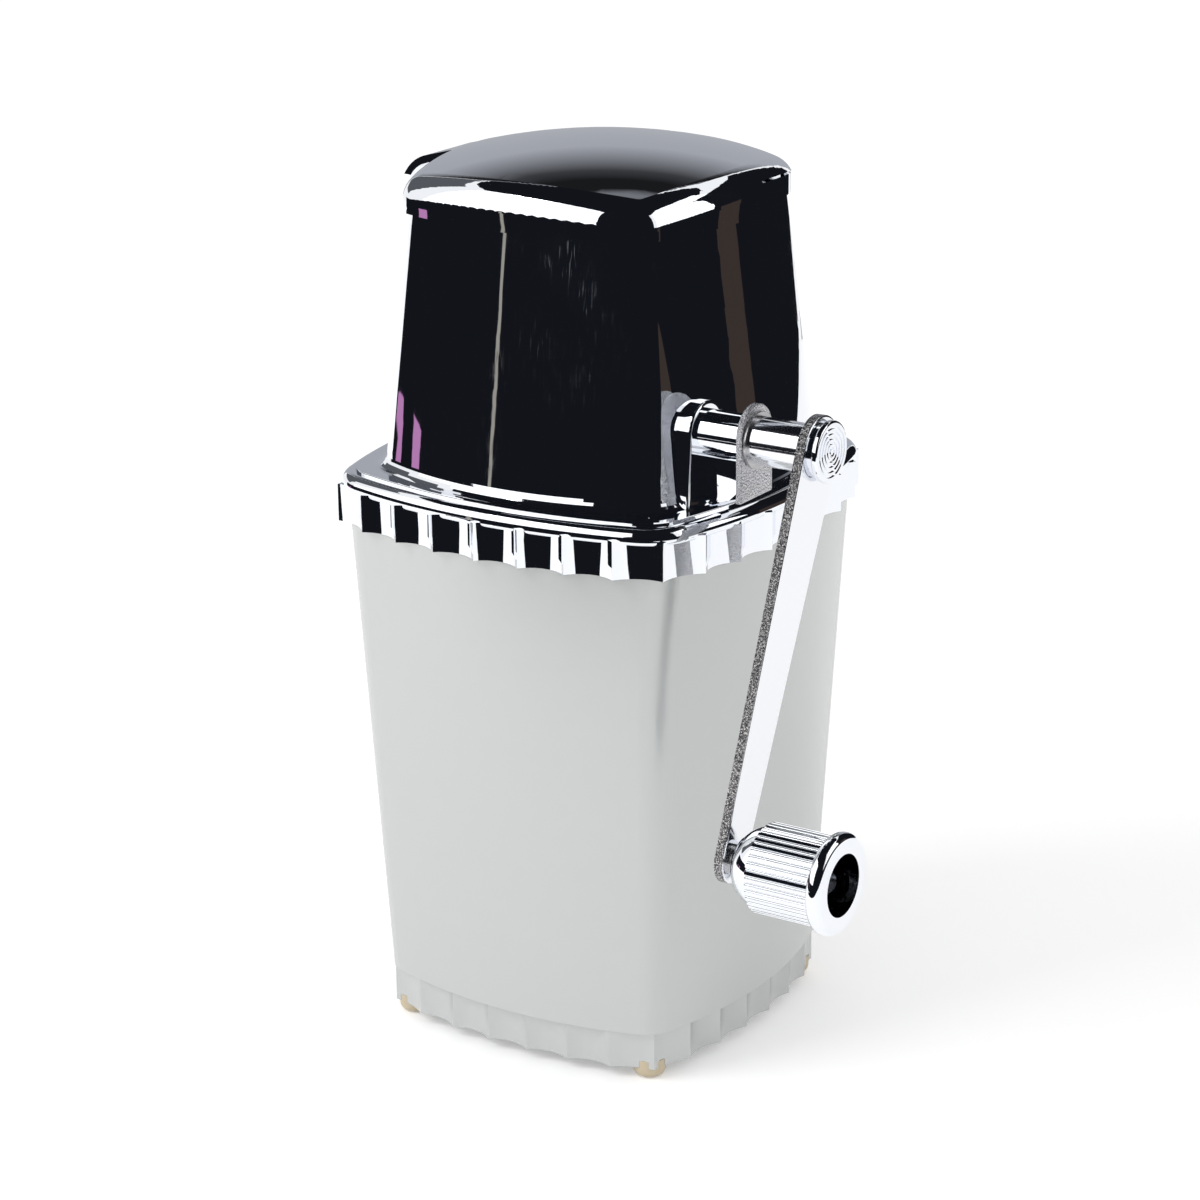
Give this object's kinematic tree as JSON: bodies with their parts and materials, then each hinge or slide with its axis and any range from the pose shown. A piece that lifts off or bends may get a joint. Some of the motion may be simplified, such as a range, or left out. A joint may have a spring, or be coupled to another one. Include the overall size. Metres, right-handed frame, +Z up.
{
  "type": "hand crank ice crusher",
  "caption": "Hand crank ice crusher in polished metal: bowed square cup, fluted collar and skirt, lift-off head with hopper, hinged lid, clawed rotor and side crank with ribbed knob",
  "frame": {"origin": "middle of the base, on the surface that the feet stand on", "axes": "+Z up, +X towards the crank, -Y is the front with the bare badge area"},
  "size_m": [0.1779, 0.1448, 0.25],
  "materials": {
    "cup_metal": "satin plated, pale grey",
    "bright_plate": "mirror polished chrome plate",
    "cast_metal": "plated over a rough casting",
    "arm_metal": "brushed face, rough cast edges",
    "foot_rubber": "clear beige soft rubber",
    "rotor_steel": "ground stainless",
    "ramp_steel": "rolled stainless sheet",
    "screw_steel": "turned steel",
    "bush_bronze": "sintered bronze, dark"
  },
  "bodies": {
    "cup": {"cup": "cup_metal", "rubber_feet": "foot_rubber"},
    "head": {"collar": "bright_plate", "hopper_shell": "bright_plate", "collar_screws": "screw_steel", "hinge_bracket": "bright_plate", "hinge_pin": "screw_steel", "hinge_rivets": "screw_steel", "bearing_plate": "cast_metal", "left_bush": "bush_bronze", "right_bush": "bush_bronze", "ice_ramp": "ramp_steel", "breaker_comb": "ramp_steel", "ramp_screws": "screw_steel", "comb_screws": "screw_steel"},
    "lid": {"lid": "bright_plate"},
    "crank": {"shaft": "rotor_steel", "crusher_disc_1": "rotor_steel", "crusher_disc_2": "rotor_steel", "crusher_disc_3": "rotor_steel", "crusher_disc_4": "rotor_steel", "crusher_disc_5": "rotor_steel", "crusher_disc_6": "rotor_steel", "disc_spacers": "rotor_steel", "end_spacers": "rotor_steel", "crank_washer": "screw_steel", "crank_arm": "arm_metal", "cap_nut": "bright_plate", "knob_pin": "screw_steel"},
    "knob": {"knob_body": "bright_plate", "knob_grip": "bright_plate", "knob_end_ring": "bright_plate"}
  },
  "joints": [
    {"name": "head_lift", "type": "slide", "parent": "cup", "child": "head", "axis": [0, 0, 1], "range_m": [0, 0.15]},
    {"name": "lid_hinge", "type": "hinge", "parent": "head", "child": "lid", "pos_m": [0, 0.043, 0.2392], "axis": [-1, 0, 0], "range_deg": [0, 100]},
    {"name": "crank_spin", "type": "hinge", "parent": "head", "child": "crank", "pos_m": [0.06, -0.026, 0.1814], "axis": [1, 0, 0], "continuous": true},
    {"name": "knob_spin", "type": "hinge", "parent": "crank", "child": "knob", "pos_m": [0.1, -0.06872, 0.08362], "axis": [1, 0, 0], "continuous": true}
  ]
}
